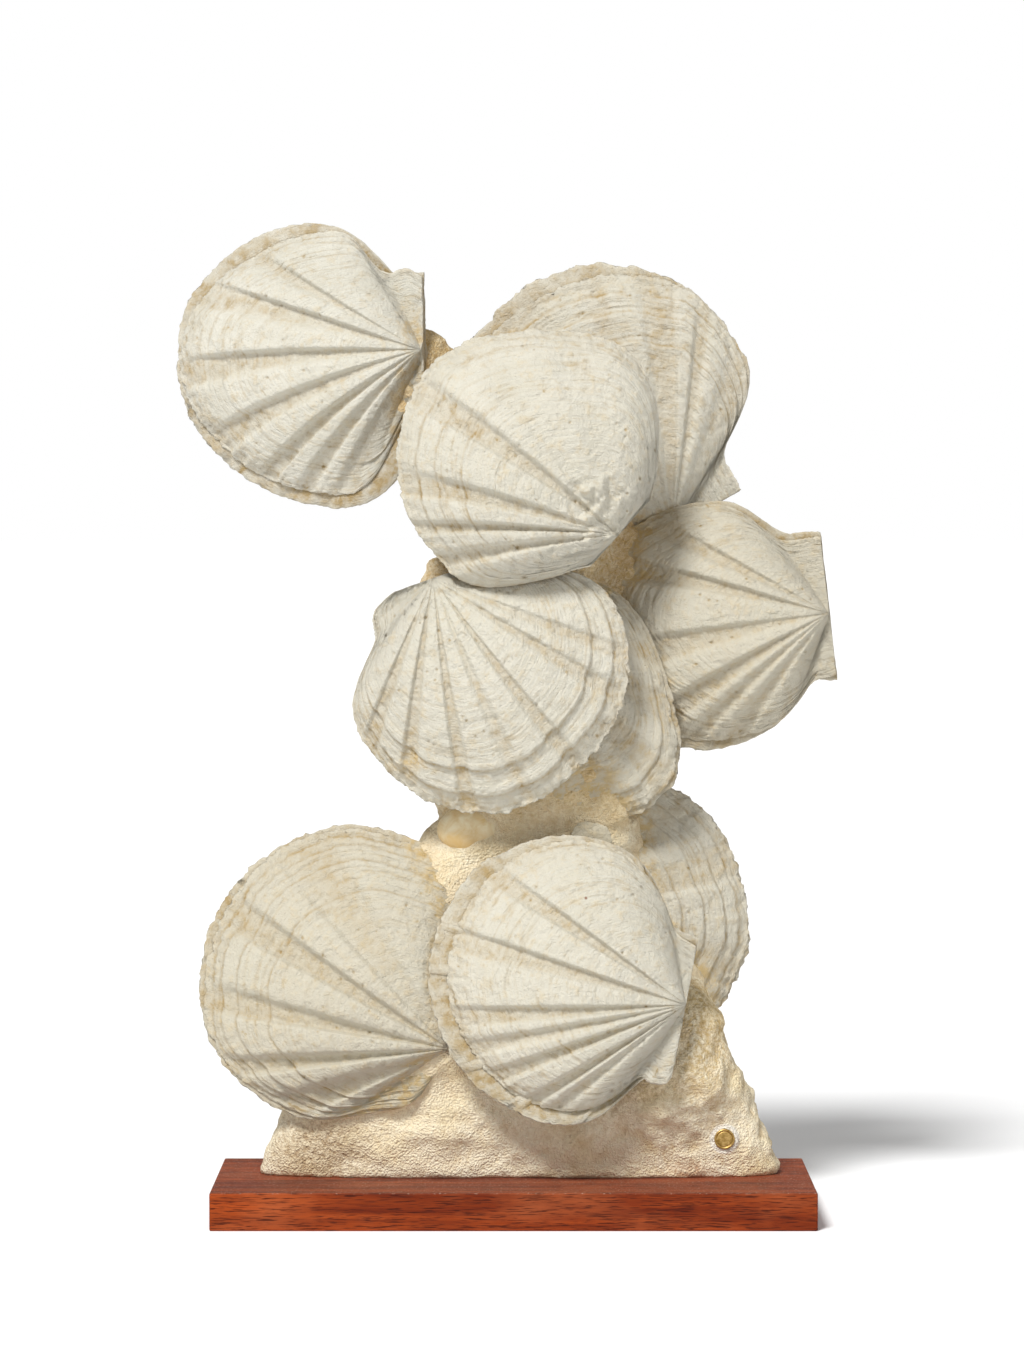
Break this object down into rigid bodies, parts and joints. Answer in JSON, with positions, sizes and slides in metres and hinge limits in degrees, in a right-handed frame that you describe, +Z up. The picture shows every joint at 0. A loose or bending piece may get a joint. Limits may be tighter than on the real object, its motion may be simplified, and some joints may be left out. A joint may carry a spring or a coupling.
{
  "type": "fossil scallop cluster on a plinth",
  "caption": "Large ribbed fossil scallops still cemented in their cream rock, standing on a flat wooden plinth.",
  "frame": {"origin": "middle of the plinth's underside", "axes": "+Z up, the shells' outer faces and the brass disc look towards -Y, +X to the viewer's right"},
  "size_m": [0.3917, 0.152, 0.5861],
  "materials": {
    "fossil_shell": "chalky calcite shell, cream to grey-white, ochre in the hollows",
    "matrix_rock": "rough sandy limestone, cream",
    "plinth_wood": "reddish-brown hardwood, dull varnish",
    "brass": "aged brass",
    "smooth_nodule": "smooth amber-cream limestone nodule"
  },
  "bodies": {
    "root": {"plinth": "plinth_wood", "rock": "matrix_rock", "upper_left_front_valve": "fossil_shell", "upper_left_rear_valve": "fossil_shell", "top_front_valve": "fossil_shell", "top_rear_valve": "fossil_shell", "centre_front_valve": "fossil_shell", "right_front_valve": "fossil_shell", "right_rear_valve": "fossil_shell", "middle_front_valve": "fossil_shell", "under_middle_front_valve": "fossil_shell", "under_middle_rear_valve": "fossil_shell", "lower_left_front_valve": "fossil_shell", "lower_left_rear_valve": "fossil_shell", "lower_front_front_valve": "fossil_shell", "lower_front_rear_valve": "fossil_shell", "low_right_front_valve": "fossil_shell", "low_right_rear_valve": "fossil_shell", "neck_shell_chip": "fossil_shell", "brass_disc": "brass", "neck_pebble": "smooth_nodule"}
  },
  "joints": []
}
